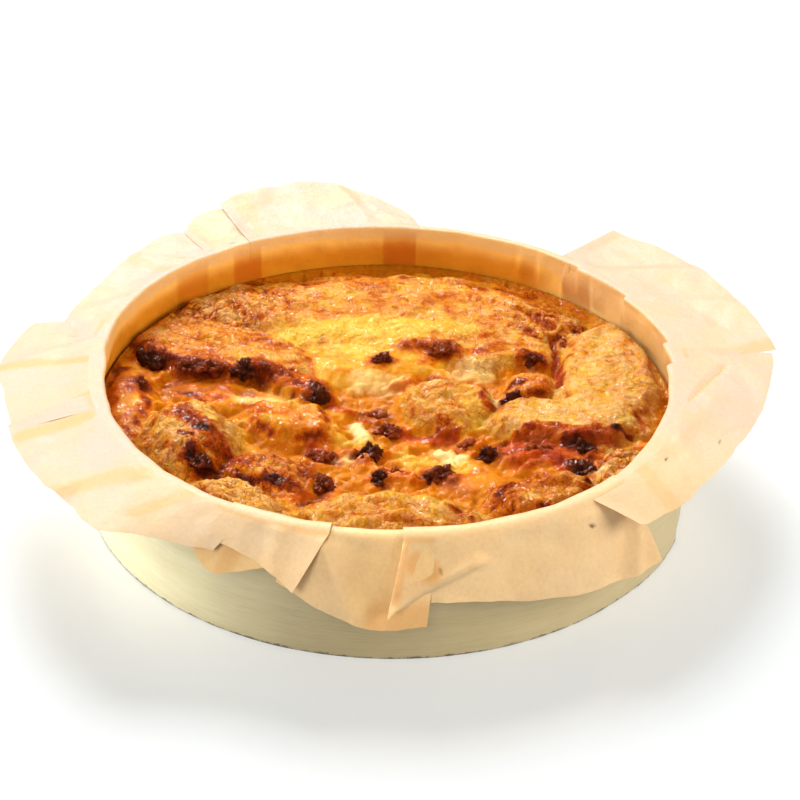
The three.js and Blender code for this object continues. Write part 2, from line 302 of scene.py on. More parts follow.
case = {
    "radius": 90,  # mm, outside
    "height": 40,
    "wall": 2,
    "base": 2,
    "gap": 0.3,  # between the base disc and the wall
    "steps": 320,
    "lapEnd": -18,  # degrees, where the strip's outer end shows
    "lapLength": 10,
    "lapRamp": 16,
    "lapStep": 1,  # mm that the end stands proud
    "edgeRound": 0.35,
    "wobble": 0.12,  # mm, unevenness of the wall
    "colours": {
        "pale": (0.64, 0.555, 0.345),
        "warm": (0.59, 0.50, 0.29),
        "grain": (0.45, 0.36, 0.20),
        "blotch": (0.53, 0.43, 0.235),
        "foot": (0.09, 0.055, 0.025),  # painted contact shade: a ragged dark line along the foot, where the wall meets the floor
    },
}


def veneerMaterial():
    material, tree, shader = newMaterial("veneer")
    uv, hue = addNode(tree, "ShaderNodeUVMap", uv_map="strip").outputs[0], case["colours"]
    grain = noiseAt(tree, uv, 0.55, detail=5, stretch=(0.05, 1, 1))
    broad = noiseAt(tree, uv, 8, detail=3, stretch=(0.08, 1, 1))
    colour = layOver(tree, hue["pale"], hue["warm"], broad, 0.35, 0.65)
    colour = layOver(tree, colour, hue["grain"], grain, 0.52, 0.75, 0.5)
    colour = layOver(tree, colour, hue["blotch"], noiseAt(tree, uv, 24), 0.5, 0.75, 0.4)
    # painted contact shade: the foot colour takes over within a ragged height above the floor
    fray = rampValue(tree, noiseAt(tree, uv, 3.5, detail=6, roughness=0.75), -0.9, 0.9, 0.25, 0.75)
    ragged = combine(tree, "ADD", readAttribute(tree, "above"), fray)
    feed(tree, shader, {
        "Base Color": blendColour(tree, rampValue(tree, ragged, 0.9, 0, 0.15, 0.75), colour, hue["foot"]),
        "Roughness": rampValue(tree, grain, 0.36, 0.58, 0.3, 0.7),
        "Normal": bumpFrom(tree, grain, 0.3),
    })
    return material


def lapRise(degrees):  # how far the strip stands proud at an angle
    start = case["lapEnd"] - case["lapLength"] - case["lapRamp"]
    return case["lapStep"] * ease(degrees, start, start + case["lapRamp"])


def roundOff(bm, geom, affect):
    bmesh.ops.bevel(bm, geom=geom, offset=case["edgeRound"] * mm, affect=affect, segments=2, profile=0.5,
                    material=-1)


def edgeRise(edge):
    return abs(edge.verts[0].co.z - edge.verts[1].co.z)


def makeWall(material):
    inner, outer, top = case["radius"] - case["wall"], case["radius"], case["height"]
    bm = bmesh.new()
    corners = ((inner, 0), (outer, 0), (outer, top), (inner, top))
    verts = [bm.verts.new(Vector((r, 0, z)) * mm) for r, z in corners]
    for i in range(4):
        bm.edges.new((verts[i], verts[(i + 1) % 4]))
    roundOff(bm, verts, "VERTICES")
    bmesh.ops.subdivide_edges(bm, edges=[e for e in bm.edges if edgeRise(e) > 0.01], cuts=9)
    bmesh.ops.spin(bm, geom=bm.verts[:] + bm.edges[:], cent=(0, 0, 0), axis=(0, 0, 1), angle=2 * math.pi,
                   steps=case["steps"], use_merge=True)
    bmesh.ops.remove_doubles(bm, verts=bm.verts, dist=0.002 * mm)
    bmesh.ops.recalc_face_normals(bm, faces=bm.faces)
    layers = markLayers(bm, ["above"])  # mm above the foot
    strip = bm.loops.layers.uv.new("strip")
    half = 180 / case["steps"]  # half a step, in degrees
    for vert in bm.verts:
        r, z = math.hypot(vert.co.x, vert.co.y) / mm, vert.co.z / mm
        degrees = (math.degrees(math.atan2(vert.co.y, vert.co.x)) - case["lapEnd"] + half) % 360 - 360 - half
        angle = degrees + case["lapEnd"]  # runs up to lapEnd, where the strip stops
        if degrees < -360 + 1.5 * half:  # draws the step at the strip's end together
            angle = mix(angle, case["lapEnd"] - 360, 0.9)
        wobble = case["wobble"] * grainNoise(angle * mmPerDegree, z, 14, 2, 3)
        r += (r - inner) / case["wall"] * (lapRise(angle) + wobble)
        setMarks(vert, layers, above=z)
        vert.co = polar(r, angle, z)
    for face in bm.faces:
        for loop in face.loops:
            p = loop.vert.co
            loop[strip].uv = (math.atan2(p.y, -p.x) * outer * mm, p.z + 0.2 * math.hypot(p.x, p.y))
    wall = finishPiece("caseWall", bm, material, "case_wall", "veneer")
    wall.data.set_sharp_from_angle(angle=math.radians(50))


def makeBase(material):
    bm = bmesh.new()
    radius = case["radius"] - case["wall"] - case["gap"]
    bmesh.ops.create_circle(bm, cap_ends=True, segments=160, radius=radius * mm)
    made = bmesh.ops.extrude_face_region(bm, geom=bm.faces[:])
    bmesh.ops.translate(bm, verts=[v for v in made["geom"] if isinstance(v, bmesh.types.BMVert)],
                        vec=(0, 0, case["base"] * mm))
    roundOff(bm, [e for e in bm.edges if edgeRise(e) < 1e-6], "EDGES")
    bmesh.ops.recalc_face_normals(bm, faces=bm.faces)
    layers = markLayers(bm, ["above"])
    for vert in bm.verts:
        setMarks(vert, layers, above=5)  # clear of the painted shade along the foot
    strip = bm.loops.layers.uv.new("strip")
    for face in bm.faces:
        for loop in face.loops:
            loop[strip].uv = loop.vert.co.xy
    finishPiece("caseBase", bm, material, "case_base", "veneer", smooth=False)


def makeCase():
    material = veneerMaterial()
    makeWall(material)
    makeBase(material)


makeCase()
print("the veneer case is wound")


# quiche

quiche = {
    "radius": 86.3,  # mm
    "sideLean": 0.8,
    "shrink": 0.5,
    "floor": 3.2,
    "edgeHeight": 27.5,
    "edgeRound": 3.5,
    "valley": 24,
    "moundShare": 6,
    "cells": 300,  # faces across
    "warp": 2.2,  # mm that the mounds' outlines wander
    "fray": 1.0,  # mm that the strokes of colour wander
    "curd": 3.4,  # mm, soft lumps of the custard between the mounds
    "footBake": 0.55,
    "edgeBake": 0.16,
    "fissureBake": 0.14,
    # painted shade: the valleys are painted browner the deeper they lie
    "valleyShade": 0.12,
    "valleyRange": (26.5, 22.5),  # mm, where the valleys begin and are deepest, and with them the painted shade
    # partly painted shade: steep slopes turn a deeper orange
    "slopeAmberShade": 0.4,
    "strokeBake": {"brown": 0.49, "yolk": 0.12, "pale": 0.02, "glaze": 0.74, "char": 0.97},
    "colours": {
        "bake": [  # from egg to char
            (0.00, (0.70, 0.45, 0.085)),
            (0.15, (0.66, 0.335, 0.024)),
            (0.30, (0.62, 0.245, 0.007)),
            (0.42, (0.555, 0.155, 0.003)),
            (0.52, (0.46, 0.090, 0.001)),
            (0.64, (0.31, 0.044, 0.001)),
            (0.76, (0.16, 0.017, 0.001)),
            (0.88, (0.06, 0.007, 0.002)),
            (1.00, (0.02, 0.005, 0.003)),
        ],
        # pale tone of the crowns, partly the crust's own drier colour and partly painted sheen
        "flour": (0.70, 0.398, 0.17),
        "amber": (0.48, 0.150, 0.003),
        "yolk": (0.78, 0.52, 0.070),
        "cream": (0.74, 0.58, 0.27),
        "sauce": (0.50, 0.058, 0.006),
        "sauceDark": (0.17, 0.011, 0.002),
    },
}
# what the material reads at each point of the top
quicheMarks = ("bake", "wet", "flake", "flour", "smooth", "yolk", "cream", "amber", "red")

# kinds of crust: shares of smooth skin and of a pale tone with painted sheen on the crowns, depth of the
# lumps in mm, depth, size and stretch of the folds, depth and cell size of the cracks, depth of the crumb,
# shine and fine cracking
crustKeys = ("smooth", "flour", "lump", "fold", "size", "stretch", "crack", "cell", "crumb", "wet", "flake")
crusts = {name: dict(zip(crustKeys, row)) for name, *row in (
    ("cracked", 0, 0.65, 0.6, 1.0, 6.0, 1.5, 0.7, 5.2, 0.30, 0.30, 0.7),
    ("skinned", 0, 0.7, 0.6, 0.5, 9.0, 1.7, 0.25, 6.5, 0.26, 0.22, 0.3),
    ("puffed", 0.2, 0.35, 0.8, 1.2, 8.5, 2.6, 0.12, 6.0, 0.15, 0.35, 0.4),
    ("wrinkled", 0, 0.5, 0.9, 1.7, 5.4, 2.2, 0.1, 5.0, 0.25, 0.5, 0.4),
    ("folded", 0.3, 0.25, 0.7, 1.6, 6.0, 2.8, 0.1, 5.0, 0.18, 0.45, 0.3),
    ("glossy", 0.5, 0.1, 0.9, 1.9, 4.8, 3.0, 0.0, 5.0, 0.18, 0.95, 0.0),
    ("crumbly", 0, 0.6, 0.6, 1.2, 3.8, 1.4, 0.35, 2.8, 0.4, 0.3, 0.7),
    ("smooth", 0.9, 0, 0.4, 0.5, 9.0, 2.4, 0.0, 6.0, 0.12, 0.5, 0.1),
)}

# mounds: centre, half sizes, turn in degrees, crown height, where the crown ends and the slope meets the
# custard, kind of crust, how baked, and the turn of its folds
mounds = [
    ((-57, -23.5), (16.5, 22), 8, 34.5, 0.4, 1.1, "cracked", 0.17, -40),  # bun
    ((-78, 0), (9, 27), 6, 28, 0.3, 1.3, "smooth", 0.36, 80),  # left edge
    ((-52, 27), (36, 18), -17, 30, 0.65, 1.06, "puffed", 0.36, -12),  # left shelf
    ((-26, 9), (12, 9), -40, 28.5, 0.4, 1.15, "glossy", 0.48, -30),  # end of the shelf
    ((-37, 55), (28, 16), 32, 30.5, 0.3, 1.3, "cracked", 0.33, 20),  # back left crust
    ((-57, 52), (28, 12), 46, 30.2, 0.4, 1.25, "cracked", 0.33, 46),  # back left edge
    ((2, 53), (62, 31), 0, 30.5, 0.5, 1.15, "puffed", 0.31, 4),  # back crust
    ((43, 51), (22, 15), -38, 30.5, 0.3, 1.3, "cracked", 0.34, -30),  # back right crust
    ((-8, 26), (32, 17), 12, 28.5, 0.4, 1.15, "smooth", 0.17, 8),  # egg slope
    ((30, 34), (25, 14), -6, 29.5, 0.6, 1.1, "puffed", 0.29, -6),  # right back shelf
    ((67, 16), (18, 43), -6, 31, 0.6, 1.08, "skinned", 0.19, 65),  # right slab
    ((54, -9), (25, 11.8), -3, 30.4, 0.74, 1.14, "skinned", 0.14, 0),  # right tongue
    ((17.5, 1), (17, 16.5), -10, 29.8, 0.55, 1.06, "wrinkled", 0.28, 10),  # middle mound
    ((44, 11), (9.5, 7.2), 6, 29.3, 0.5, 1.12, "folded", 0.34, -25),  # small mound
    ((-28.5, -12.5), (18, 11.5), -18, 29.8, 0.5, 1.1, "glossy", 0.37, -22),  # glossy mound
    ((-35, -38), (16, 11), -12, 29, 0.3, 1.3, "crumbly", 0.38, -15),  # rough mound
    ((-41, -57), (20, 10), -36, 31.5, 0.4, 1.2, "crumbly", 0.26, -30),  # front left crust
    ((1, -62), (31, 13), 0, 32, 0.4, 1.2, "wrinkled", 0.22, 8),  # front crust
    ((45, -48), (19, 11), 20, 31, 0.5, 1.15, "wrinkled", 0.36, 22),  # front right crust
    ((70, -33), (12, 15), -24, 29.5, 0.4, 1.15, "crumbly", 0.25, 0),  # right crumb
    ((27, -41), (15, 10), 10, 26.5, 0.2, 1.3, "smooth", 0.36, 20),  # custard swell
    ((-48, 4.5), (20, 7.5), -14, 27.2, 0.65, 1.25, "smooth", 0.45, -14),  # left pool
    ((47, -25.5), (15, 8), -3, 27.2, 0.6, 1.25, "glossy", 0.42, 0),  # red pool
    ((37.8, 1.2), (6, 5), 0, 27.6, 0.4, 1.2, "smooth", 0.3, 0),  # seat of a lardon
]

# strokes of colour: path in mm, half width, strength, and how far they raise or sink the top in mm
bakeStrokes = {
    "brown": [
        ([(-74, 36), (-56, 59), (-30, 74), (0, 80), (30, 74), (56, 57)], 4, 0.4, 0),
        ([(-60, 37), (-54, 40)], 3, 0.4, 0),
        ([(75, 26), (79, 6), (77, -12)], 4, 0.12, 0),
        ([(-41, -35), (-30, -38), (-21, -41)], 5, 0.45, 0),
        ([(-46, -46.5), (-36, -47.5), (-26, -50)], 2.6, 0.6, 0),
        ([(-13, -48), (-3, -50), (8, -51)], 2.6, 0.45, 0),
        ([(-72, -14), (-70, -26), (-64, -38)], 3, 0.15, 0),
        ([(4, 24), (12, 25)], 3, 0.4, 0),
        ([(34, -50), (44, -50), (54, -46)], 2.2, 0.55, -0.3),
        ([(30, -55), (40, -56)], 3, 0.6, 0),
        ([(-12, -62), (-2, -61), (10, -62)], 1.8, 0.6, -0.3),
        ([(-8, -66), (8, -67)], 2.2, 0.6, -0.2),
    ],
    "glaze": [
        ([(-40, 15.5), (-36, 13.5), (-31, 10.5), (-28, 7), (-24, 4), (-16, 0), (-12, -2)], 3.2, 0.85, 0.7),
        ([(-78, 27), (-74, 22), (-68, 18), (-60, 15.5), (-52, 13), (-44, 14)], 3.0, 0.9, 0.3),
        ([(-50.5, 6), (-48, 5.2)], 2.6, 0.85, 1.6),
        # painted shade: the next two strokes darken and sink the custard under the overhanging ridge of the
        # shelf
        ([(-67, 13), (-56, 11), (-46, 10.5), (-38, 10.5)], 3.0, 0.7, -0.6),
        ([(-68, 9.5), (-57, 6.5), (-47, 5), (-41, 4)], 2.0, 0.6, -0.6),
        ([(-76, 8), (-74, 3), (-73, -2), (-72.5, -8)], 2.2, 0.7, 0),
        ([(-82, 10), (-82, -6), (-79, -22)], 3, 0.2, 0),
        ([(-61, -20), (-55, -25), (-50, -30), (-45.5, -36)], 5, 0.85, 0.2),
        ([(-47, -33), (-41, -37)], 4, 0.5, 0),
        ([(-40, -4), (-36, -2), (-31, -3.5)], 2, 0.6, 0.4),
        ([(-22, -25), (-17, -27), (-14, -30)], 3.4, 0.85, 0.4),
        ([(-9, -27), (-6, -24)], 2.6, 0.75, 0.3),
        ([(-22, -34), (-20, -40), (-17, -45), (-21, -52)], 4, 0.75, 0),
        ([(4, 30), (10, 31)], 2.4, 0.6, 0.4),
        ([(14, 30.5), (19, 29)], 3.2, 0.8, 0.6),
        ([(21, 28.5), (29, 28)], 2.4, 0.6, 0.3),
        ([(51, 40), (51.5, 34), (52, 22), (52.5, 10)], 1.6, 0.85, -1.4),
        ([(45, 50), (50, 45)], 3, 0.7, -1.2),
        ([(42, 28), (44, 24)], 3, 0.6, 0.3),
        ([(3, 11), (7, 15), (13, 16.5)], 2.8, 0.7, 0.3),
        ([(-1, -11), (4, -13), (12, -15), (20, -14.5)], 2.4, 0.8, 0.2),
        ([(29, 2), (30, -1)], 1.8, 0.75, 0.3),
        ([(36, 9), (40, 11)], 2.4, 0.75, 0.3),
        ([(33, -18), (38, -17), (44, -15.5), (50, -15), (57, -17.5), (66, -16)], 2.0, 0.8, 0),
        ([(44, -26), (49, -28.5)], 3, 0.85, 0.4),
        ([(23, -20), (28, -22)], 3.6, 0.55, 0.8),
        ([(31, -45.5), (34, -46.5), (39, -43)], 2.6, 0.8, 0.3),
        ([(1, -33), (5, -35)], 2.4, 0.6, 0.3),
        ([(-8, -6), (-1, -6)], 3, 0.5, 0.3),
    ],
    "red": [
        ([(35, -21), (40, -19), (46, -18.5), (52, -19), (59, -20), (66, -19.5)], 3.0, 0.9, 0),
        ([(37, -24), (46, -22), (55, -23.5)], 4.6, 0.95, -0.3),
        ([(38, -29), (47, -28.5), (55, -30)], 4, 0.8, 0.3),
        ([(-22, -24.5), (-17, -27)], 2.8, 0.85, 0.3),
        ([(-16, 0.5), (-11, -2)], 2.6, 0.7, 0),
        ([(-46, -31), (-42, -36)], 3.4, 0.6, 0),
        ([(-24, -48), (-18, -50)], 3.4, 0.7, 0),
        ([(-1, -13.5), (6, -15), (14, -16), (20, -15)], 2.0, 0.8, 0),
        ([(51.5, 36), (52, 22), (52.5, 12)], 1.4, 0.8, 0),
        ([(26, 28), (30, 27)], 2, 0.7, 0),
        ([(2, -33), (5, -35)], 2.2, 0.6, 0),
        ([(29, 1), (31, -2)], 1.8, 0.8, 0),
    ],
    "char": [
        ([(-23, 6), (-20, 3.5)], 2.4, 0.7, 0.3),
        ([(-56, -37.5), (-52, -40.5), (-47, -44)], 2.2, 0.7, 0.3),
        ([(-51, -39.5), (-44, -44.5)], 1.8, 0.85, 0.2),
        ([(-34, -43.5), (-30, -45), (-27, -46)], 1.8, 0.65, 0),
        ([(-19, -37), (-16, -43)], 2.4, 0.75, 0.3),
        ([(-23, -53), (-20, -50)], 2.6, 0.55, 0),
        ([(52, -21), (58, -23)], 2.6, 0.8, 0.2),
        ([(54, -30), (57, -33)], 2.6, 0.7, 0.2),
        ([(66, -15.5), (71, -16)], 1.4, 0.7, 0),
        ([(-58, -24), (-52, -29)], 1.4, 0.5, 0),
        ([(-59, -31), (-56, -32)], 1.6, 0.6, 0),
    ],
    "pale": [
        ([(-44, 1), (-36, -0.5), (-30, -2)], 3.5, 0.5, -0.4),
        ([(-9, -12), (-7, -16)], 2.8, 1.0, 1.4),
        ([(17, -24.5), (20, -27)], 3, 0.95, 0.2),
        ([(33, 6), (33, 2)], 2.6, 0.9, 0.4),
        ([(-14, -29.5), (-11, -28)], 2.4, 0.75, 0),
        ([(22, 22), (30, 21)], 4, 0.45, 0),
        ([(-8, 13), (0, 12)], 5, 0.45, 0),
        ([(44, 21), (47, 19)], 2.4, 0.6, 0.3),
        ([(59.5, -33.5), (62, -35)], 2.2, 0.9, 0.2),
    ],
    "yolk": [
        ([(-32, 36), (-18, 38), (-4, 40), (8, 42)], 7, 0.9, 0),
        ([(-14, 31), (4, 36)], 5, 0.6, 0),
        ([(-43, 39), (-36, 40)], 5, 0.35, 0),
        ([(24, 2), (27, -8)], 4, 0.4, 0),
        ([(10, 42), (24, 40)], 5, 0.6, 0),
        ([(0, -54), (12, -56)], 4, 0.5, 0),
        ([(6, -27), (14, -30), (22, -32)], 4, 0.7, 0),
        ([(-12, -19), (-3, -20)], 3.5, 0.6, 0),
        ([(-34, 1), (-24, -3)], 3.5, 0.6, 0),
    ],
    "amber": [
        ([(27, -34), (35, -36), (24, -44)], 6, 0.8, 0),
        ([(5, -24), (8, -27)], 4, 0.7, 0.5),
        ([(-66, 10), (-54, 8), (-42, 7), (-34, 3)], 5.5, 0.95, -0.8),
        ([(-14, 12), (-4, 16), (8, 20)], 6, 0.5, 0),
        ([(2, -18), (12, -19), (22, -18)], 3, 0.9, -0.8),
        ([(59, -21), (66, -20), (72, -20)], 3, 0.8, 0),
    ],
}


# lardons: centre, half sizes in mm, turn in degrees, how charred
lardons = [
    ((-73.5, 21.5), (5.6, 3.2, 3.0), -38, 1.0),
    ((-57.5, 14.2), (7.4, 2.8, 2.4), -10, 0.66),
    ((-44.5, 13.4), (4.2, 3.0, 3.2), 35, 0.97),
    ((-21, 1.8), (3.4, 2.9, 4.0), 40, 0.95),
    ((-4, -4.2), (4.2, 2.9, 2.8), 8, 0.40),
    ((0.5, -11.8), (4.0, 2.7, 2.8), -25, 0.60),
    ((-4.7, -25.4), (4.4, 3.2, 3.5), 14, 0.93),
    ((-1.8, -39), (2.5, 2.3, 2.7), -40, 1.0),
    ((3, -34), (2.8, 2.2, 2.2), 10, 0.42),
    ((-19, -27.5), (4.2, 2.9, 2.6), -14, 0.55),
    ((-17.8, -42.3), (3.4, 2.9, 2.9), -35, 0.70),
    ((-2.5, 21.8), (2.6, 2.3, 2.6), 24, 0.80),
    ((-75, 6), (2.0, 3.8, 2.2), 12, 0.70),
    ((-53, -39), (4.2, 2.6, 2.2), -28, 0.84),
    ((44, 26), (2.8, 2.5, 2.8), -20, 0.78),
    ((37.8, 1.2), (3.5, 2.7, 3.6), 10, 1.0),
    ((57.5, -22.6), (3.4, 2.8, 3.4), -30, 1.0),
    ((29.8, -24.6), (3.1, 2.7, 3.2), -20, 0.95),
    ((15, -37.5), (4.4, 3.8, 4.2), -12, 0.80),
    ((44.5, -24.2), (3.6, 2.7, 2.5), 16, 0.50),
    ((56.5, -32.6), (4.0, 3.1, 3.2), 20, 0.95),
    ((16, 29.3), (4.3, 2.5, 2.3), 4, 0.48),
    ((24.4, -20.4), (3.0, 2.3, 2.7), 20, 0.36),
]


def pathDistance(x, y, path):  # from a point to the nearest stretch of a path
    best = 1e9
    for (ax, ay), (bx, by) in zip(path, path[1:]):
        dx, dy = bx - ax, by - ay
        share = min(max(((x - ax) * dx + (y - ay) * dy) / (dx * dx + dy * dy), 0), 1)
        best = min(best, math.hypot(x - ax - share * dx, y - ay - share * dy))
    return best


def reachBox(path, reach):
    xs, ys = zip(*path)
    return min(xs) - reach, max(xs) + reach, min(ys) - reach, max(ys) + reach


def boxedStrokes():  # each stroke with the box that it can reach
    boxed = []
    for kind, strokes in bakeStrokes.items():
        boxed += [(kind, *stroke, reachBox(stroke[0], 1.6 * stroke[1])) for stroke in strokes]
    for (cx, cy), half, turn, _ in lardons:  # a burnt collar round each lardon
        c, s = cosSin(turn)
        dx, dy = 0.6 * half[0] * c, 0.6 * half[0] * s
        path, width = [(cx - dx, cy - dy), (cx + dx, cy + dy)], 1.05 * half[1] + 1.8
        boxed.append(("glaze", path, width, 0.8, 0.25 * half[2], reachBox(path, 2 * width)))
    return boxed


strokeBoxes = boxedStrokes()


def puffNoise(x, y, size, seed):  # round lumps with sharp creases, from -0.5, and how near a crease is
    first = abs(noise.noise(Vector((x / size, y / size, seed))))
    second = abs(noise.noise(Vector((2.1 * x / size, 2.1 * y / size, seed + 5))))
    third = abs(noise.noise(Vector((4.3 * x / size, 4.3 * y / size, seed + 9))))
    return 1.3 * first + 0.55 * second + 0.28 * third - 0.5, 1 - ease(first, 0, 0.13)


def moundHeight(x, y):  # height in mm, and each mound's share in it
    total, shares = 0, []
    for mound in mounds:
        (cx, cy), (halfX, halfY), turn, top, crown, foot = mound[:6]
        dx, dy = x - cx, y - cy
        if max(abs(dx), abs(dy)) > 1.3 * max(halfX, halfY):
            continue
        c, s = cosSin(turn)
        reach = math.hypot((dx * c + dy * s) / halfX, (dy * c - dx * s) / halfY)
        slope = ease(reach, crown, foot)
        part = ((top - quiche["valley"]) * (1 - slope)) ** quiche["moundShare"]
        if part > 1e-6:
            shares.append((part, slope, mound))
            total += part
    height = quiche["valley"] + total ** (1 / quiche["moundShare"])
    return height, [(part / total, slope, mound) for part, slope, mound in shares]


def edgeRadius(turn):
    wave = 0.5 + 0.3 * math.sin(3 * turn + 0.8) + 0.2 * math.sin(7 * turn)
    return quiche["radius"] - quiche["shrink"] * wave


def quicheTop(x, y):  # height of the top in mm, its fine relief, and what colours it
    lumps, crumb = grainNoise(x, y, 7, 3, 2), grainNoise(x, y, 1.6, 3, 6)
    blotch = grainNoise(x, y, 13, 3, 9)
    nibble = grainNoise(x, y, 3.2, 2, 21)
    wx = x + quiche["warp"] * grainNoise(x, y, 11, 3, 1) + 0.5 * nibble
    wy = y + quiche["warp"] * grainNoise(x, y, 11, 3, 5) + 0.5 * crumb
    z, shares = moundHeight(wx, wy)
    crust = ease(z, quiche["valley"] + 0.3, quiche["valley"] + 2.6)
    curd, seam = puffNoise(0.8 * x + 3 * lumps, 1.2 * y + 2 * lumps + 0.8 * nibble, 8.5, 14)
    soft = 1 - crust
    tone = dict.fromkeys(("fissure", "flake", "flour"), 0)
    tone.update(wet=0.5 * soft, smooth=soft, bake=soft * (0.36 + 0.14 * lumps + 0.08 * crumb),
                amber=soft * (0.95 - 1.6 * curd + 0.3 * seam + 0.3 * blotch))
    rough = soft * quiche["curd"] * (curd + 0.15) + 0.05 * crumb
    scorch = ease(grainNoise(x, y, 8, 3, 31), -0.15, 0.35)
    for share, slope, (*_, name, bake, foldTurn) in shares:
        share *= crust
        if share < 0.03:
            continue
        skin = crusts[name]
        c, s = cosSin(foldTurn)
        u, v = (x * c + y * s) / skin["stretch"], y * c - x * s
        fold, crease = puffNoise(u + 0.8 * lumps, v + 1.3 * lumps + 0.4 * nibble, skin["size"], 4)
        crack = 0
        if skin["crack"]:
            border = cellEdge(x + 1.4 * lumps + 0.5 * crumb, y + 1.4 * crumb, skin["cell"], 7)
            crack = (1 - ease(border, 0, 0.15)) * ease(blotch, -0.5, 0.3)
        relief = skin["lump"] * lumps + skin["fold"] * fold - skin["crack"] * crack + skin["crumb"] * crumb
        rough += share * relief
        # low folds and creases are painted browner, partly their own browning and partly painted shade
        tone["bake"] += share * (bake - 0.10 * fold + 0.09 * crease + 0.09 * lumps + 0.12 * blotch
                                 + 0.05 * crumb)
        edge = share * scorch * ease(slope, 0.03, 0.2) * (1 - ease(slope, 0.3, 0.75))
        tone["bake"] += 0.30 * edge
        # crowns, not slopes, take the pale tone: partly the crust's own, partly painted sheen
        tone["flour"] += share * skin["flour"] * (1 - ease(slope, 0.4, 0.9))
        tone["wet"] += share * max(skin["wet"], 0.8 * edge)
        tone["fissure"] += share * crack * min(1, 2 * skin["crack"])
        tone["flake"] += share * skin["flake"]
        tone["smooth"] += share * skin["smooth"]
    paint = dict.fromkeys(("char", "glaze", "brown", "pale", "yolk", "amber", "red"), 0)
    fx, fy = (place + quiche["fray"] * grainNoise(x, y, 5, 3, seed) for place, seed in ((x, 11), (y, 12)))
    ragged = 0.22 * nibble + 0.18 * crumb + 0.25 * rough
    for kind, path, width, strength, lift, (x0, x1, y0, y1) in strokeBoxes:
        if x0 < fx < x1 and y0 < fy < y1:
            reach = pathDistance(fx, fy, path) / width
            paint[kind] = max(paint[kind], strength * ease(1.15 + ragged - reach, 0, 0.75))
            z += lift * (1 - ease(reach, 0.3, 1.3))
    return z, rough, tone, paint


def makeQuiche(material):
    bm = bmesh.new()
    layers = markLayers(bm, quicheMarks)
    bmesh.ops.create_grid(bm, x_segments=quiche["cells"], y_segments=quiche["cells"], size=1)
    border = [e for e in bm.edges if e.is_boundary]
    side = bmesh.ops.extrude_edge_only(bm, edges=border)["geom"]
    bmesh.ops.translate(bm, verts=[v for v in side if isinstance(v, bmesh.types.BMVert)], vec=(0, 0, -1))
    levels = quiche["strokeBake"]
    for vert in bm.verts:
        u, v = vert.co.x, vert.co.y
        x, y = u * math.sqrt(1 - v * v / 2), v * math.sqrt(1 - u * u / 2)  # square to round
        rim = edgeRadius(math.atan2(y, x))
        if vert.co.z < -0.5:  # the foot
            foot = rim - quiche["sideLean"]
            setMarks(vert, layers, bake=quiche["footBake"])
            vert.co = Vector((x * foot, y * foot, quiche["floor"])) * mm
            continue
        inward = rim * (1 - math.hypot(x, y))
        x, y = x * rim, y * rim
        z, rough, tone, paint = quicheTop(x, y)
        over = min(max(1 - inward / quiche["edgeRound"], 0), 1)
        z = mix(quiche["edgeHeight"], z + rough, math.sqrt(1 - over * over))
        bake = tone["bake"] + quiche["edgeBake"] * over + quiche["fissureBake"] * tone["fissure"]
        # painted shade in the valleys
        bake += quiche["valleyShade"] * ease(z, *quiche["valleyRange"])
        bake = mix(bake, levels["brown"], paint["brown"])
        bake = mix(bake, levels["yolk"], 0.9 * paint["yolk"])
        bake = mix(bake, levels["pale"], paint["pale"])
        bake = mix(bake, levels["glaze"] - 0.10 * rough, paint["glaze"])
        bake = mix(bake, levels["char"], paint["char"])
        clear = 1 - max(paint["glaze"], paint["char"])  # of dark strokes
        unburnt, unpaled = 1 - paint["char"], 1 - paint["pale"]
        setMarks(
            vert, layers, bake=bake,
            red=paint["red"] * unburnt,
            wet=min(1, max(tone["wet"], 0.95 * paint["glaze"], paint["red"], 0.6 * paint["char"])),
            flake=tone["flake"] * clear,
            smooth=max(tone["smooth"], paint["pale"]) * unburnt,
            amber=min(max(tone["amber"], 0, paint["amber"]), 1) * clear * unpaled,
            yolk=paint["yolk"] * clear,
            cream=paint["pale"] * clear,
            flour=tone["flour"] * ease(bake, 0.5, 0.3) * (1 - paint["yolk"]),
        )
        vert.co = Vector((x, y, z)) * mm
    bmesh.ops.holes_fill(bm, edges=[e for e in bm.edges if e.is_boundary], sides=0)
    bmesh.ops.recalc_face_normals(bm, faces=bm.faces)
    bm.normal_update()
    for vert in bm.verts:  # slopes are painted a deeper orange than crowns, partly their own colour and partly painted shade
        if vert.normal.z > 0:
            steep = ease(1 - vert.normal.z, 0.10, 0.5) * (1 - vert[layers["cream"]])
            deep = quiche["slopeAmberShade"] * steep * ease(vert[layers["bake"]], 0.62, 0.4)
            setMarks(vert, layers, amber=max(vert[layers["amber"]], deep))
    finishPiece("quicheBaked", bm, material, "quiche", "quiche")


